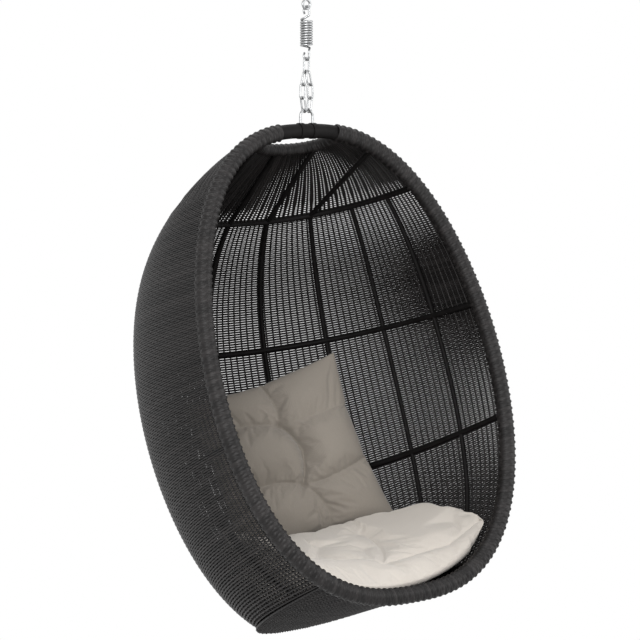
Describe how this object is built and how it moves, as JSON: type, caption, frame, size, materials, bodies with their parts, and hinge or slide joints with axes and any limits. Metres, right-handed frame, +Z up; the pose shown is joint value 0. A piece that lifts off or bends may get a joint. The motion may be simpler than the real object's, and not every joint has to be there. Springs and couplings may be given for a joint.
{
  "type": "hanging chair",
  "caption": "Egg-shaped woven pod chair with seat and back cushions, hung by its hoop from a doubled chain, a coil spring and a swivel eye.",
  "frame": {"origin": "centre of the swivel's upper eye, which carries the whole chair", "axes": "+Z up along the chain, -Y out of the pod's front opening, +X to the sitter's left"},
  "size_m": [0.964, 0.9124, 1.7437],
  "materials": {
    "zinc": "bright zinc plate",
    "bearing_steel": "polished",
    "hoop_coat": "charcoal powder coat",
    "rod_coat": "charcoal powder coat",
    "wicker": "satin resin strand",
    "binding": "matt",
    "seat_cloth": "woven",
    "pillow_cloth": "woven"
  },
  "bodies": {
    "ceiling_swivel": {"swivel_body": "zinc", "swivel_cap": "zinc", "swivel_balls": "bearing_steel"},
    "turning_shank": {"swivel_shank": "zinc"},
    "spring_top": {"spring_upper_hook": "zinc", "suspension_spring": "zinc"},
    "spring_bottom": {"spring_lower_hook": "zinc"},
    "top_link": {"top_chain_link": "zinc"},
    "doubled_chain": {"left_chain_link_1": "zinc", "left_chain_link_2": "zinc", "left_chain_link_3": "zinc", "right_chain_link_1": "zinc", "right_chain_link_2": "zinc", "right_chain_link_3": "zinc"},
    "pod": {"pod_eye": "zinc", "eye_bindings": "binding", "front_hoop": "hoop_coat", "hoop_wrap": "wicker", "upper_bow": "rod_coat", "middle_bow": "rod_coat", "lower_bow": "rod_coat", "base_bow": "rod_coat", "top_bow": "rod_coat", "top_bow_wrap": "wicker", "right_rib_4": "rod_coat", "right_rib_3": "rod_coat", "right_rib_2": "rod_coat", "right_rib_1": "rod_coat", "centre_rib": "rod_coat", "left_rib_1": "rod_coat", "left_rib_2": "rod_coat", "left_rib_3": "rod_coat", "left_rib_4": "rod_coat", "base_bars": "rod_coat", "woven_wall": "wicker", "woven_cap": "wicker", "woven_base": "wicker"},
    "seat_pad": {"seat_cushion": "seat_cloth"},
    "back_pillow": {"back_cushion": "pillow_cloth"}
  },
  "joints": [
    {"name": "swivel_spin", "type": "hinge", "parent": "ceiling_swivel", "child": "turning_shank", "pos_m": [0, 0, 0], "axis": [0, 0, 1], "continuous": true},
    {"name": "fore_aft_swing", "type": "hinge", "parent": "turning_shank", "child": "spring_top", "pos_m": [0, 0, -0.0785], "axis": [1, 0, 0], "range_deg": [-30, 30]},
    {"name": "spring_stretch", "type": "slide", "parent": "spring_top", "child": "spring_bottom", "axis": [0, 0, -1], "range_m": [0, 0.03], "stiffness_N_per_m": 30000, "springref_m": -0.01207, "deforming": ["suspension_spring"]},
    {"name": "side_swing", "type": "hinge", "parent": "spring_bottom", "child": "top_link", "pos_m": [0, 0, -0.2109], "axis": [0, 1, 0], "range_deg": [-20, 20]},
    {"name": "chain_swing", "type": "hinge", "parent": "top_link", "child": "doubled_chain", "pos_m": [0, 0, -0.2453], "axis": [1, 0, 0], "range_deg": [-30, 30]},
    {"name": "pod_tilt", "type": "hinge", "parent": "doubled_chain", "child": "pod", "pos_m": [0, 0, -0.3386], "axis": [1, 0, 0], "range_deg": [-20, 20]},
    {"name": "seat_lift", "type": "slide", "parent": "pod", "child": "seat_pad", "axis": [0, 0, 1], "range_m": [0, 0.06]},
    {"name": "pillow_lift", "type": "slide", "parent": "seat_pad", "child": "back_pillow", "axis": [-0.1294, -0.2242, 0.9659], "range_m": [0, 0.2]}
  ]
}
